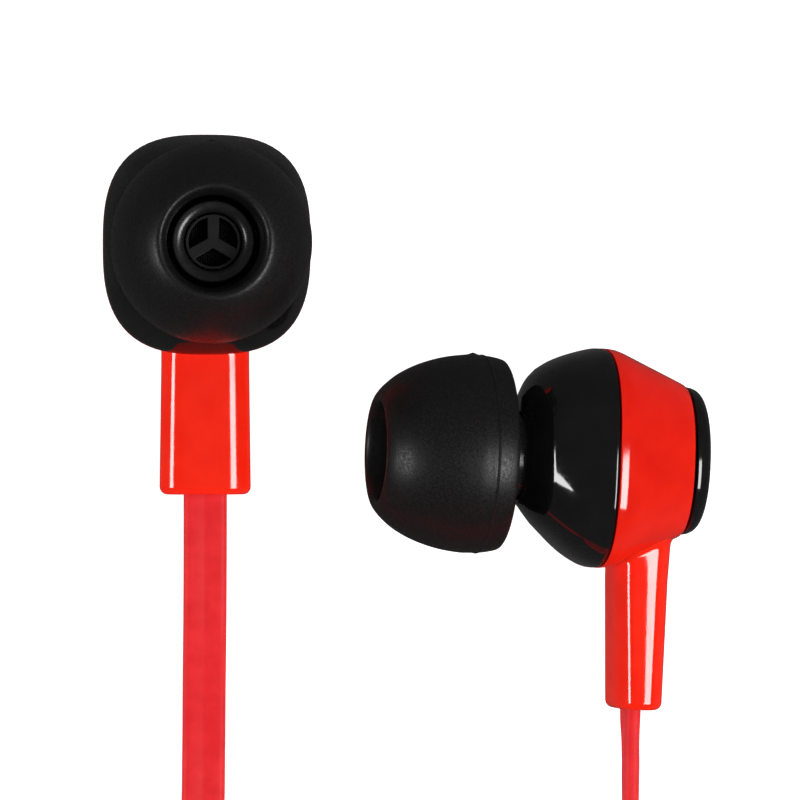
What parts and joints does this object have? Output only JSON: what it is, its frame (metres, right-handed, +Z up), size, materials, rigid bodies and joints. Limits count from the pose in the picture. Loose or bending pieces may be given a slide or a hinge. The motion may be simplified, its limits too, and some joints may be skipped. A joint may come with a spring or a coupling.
{
  "type": "wired in-ear earphones",
  "caption": "In-ear earphones: rounded-square shells, soft tips on spoked nozzles, stems, a coiled flat cord, splitter and 3.5 mm stereo plug.",
  "frame": {"origin": "bottom centre of the box round both buds and their stems, on the table they lie on", "axes": "+Z up from the table and along the left bud's nose, -Y along both stems, -X roughly along the right bud's nose"},
  "size_m": [0.0559, 0.1059, 0.021],
  "materials": {
    "gloss_black": "deep gloss black ABS",
    "gloss_red": "gloss red ABS",
    "red_stem": "gloss red, moulded",
    "silicone": "fine speckled matte black silicone",
    "red_cord": "satin red TPE, flat",
    "black_rubber": "matte black",
    "steel": "fine satin",
    "nickel": "nickel-plated magnet",
    "copper": "enamelled copper winding",
    "gold_contact": "gold flash on brass",
    "film": "thin polyester film",
    "foam": "open-cell foam",
    "frame_plastic": "matte moulded"
  },
  "bodies": {
    "earphones": {"left_nozzle": "gloss_black", "left_grille": "gloss_black", "left_nozzle_mesh": "steel", "left_front_shell": "gloss_black", "left_rear_shell": "gloss_red", "left_rear_cap": "gloss_black", "left_stem": "red_stem", "left_cord_stop": "black_rubber", "left_driver_frame": "frame_plastic", "left_yoke": "steel", "left_magnet": "nickel", "left_top_plate": "steel", "left_foam_gasket": "foam", "right_nozzle": "gloss_black", "right_grille": "gloss_black", "right_nozzle_mesh": "steel", "right_front_shell": "gloss_black", "right_rear_shell": "gloss_red", "right_rear_cap": "gloss_black", "right_stem": "red_stem", "right_cord_stop": "black_rubber", "right_driver_frame": "frame_plastic", "right_yoke": "steel", "right_magnet": "nickel", "right_top_plate": "steel", "right_foam_gasket": "foam", "cord_left": "red_cord", "cord_right": "red_cord", "cord_coil": "red_cord", "cord_left_inner": "red_cord", "cord_right_inner": "red_cord", "cord_main_inner": "red_cord", "cord_main_outer": "red_cord", "coil_tie": "black_rubber", "y_split_lower": "gloss_black", "y_split_upper": "gloss_black", "plug_relief": "black_rubber", "plug_body": "gloss_black", "plug_sleeve": "gold_contact", "plug_insulator_1": "black_rubber", "plug_ring": "gold_contact", "plug_insulator_2": "black_rubber", "plug_tip": "gold_contact"},
    "left_tip": {"left_ear_tip": "silicone"},
    "right_tip": {"right_ear_tip": "silicone"},
    "left_membrane": {"left_diaphragm": "film", "left_voice_coil": "copper"},
    "right_membrane": {"right_diaphragm": "film", "right_voice_coil": "copper"}
  },
  "joints": [
    {"name": "left_tip_pull", "type": "slide", "parent": "earphones", "child": "left_tip", "axis": [0, 0, 1], "range_m": [0, 0.007]},
    {"name": "right_tip_pull", "type": "slide", "parent": "earphones", "child": "right_tip", "axis": [-0.9884, 0.0345, 0.1478], "range_m": [0, 0.007]},
    {"name": "left_diaphragm_travel", "type": "slide", "parent": "earphones", "child": "left_membrane", "axis": [0, 0, 1], "range_m": [-0.0002, 0.0002], "stiffness_N_per_m": 20},
    {"name": "right_diaphragm_travel", "type": "slide", "parent": "earphones", "child": "right_membrane", "axis": [-0.9884, 0.0345, 0.1478], "range_m": [-0.0002, 0.0002], "stiffness_N_per_m": 20}
  ]
}
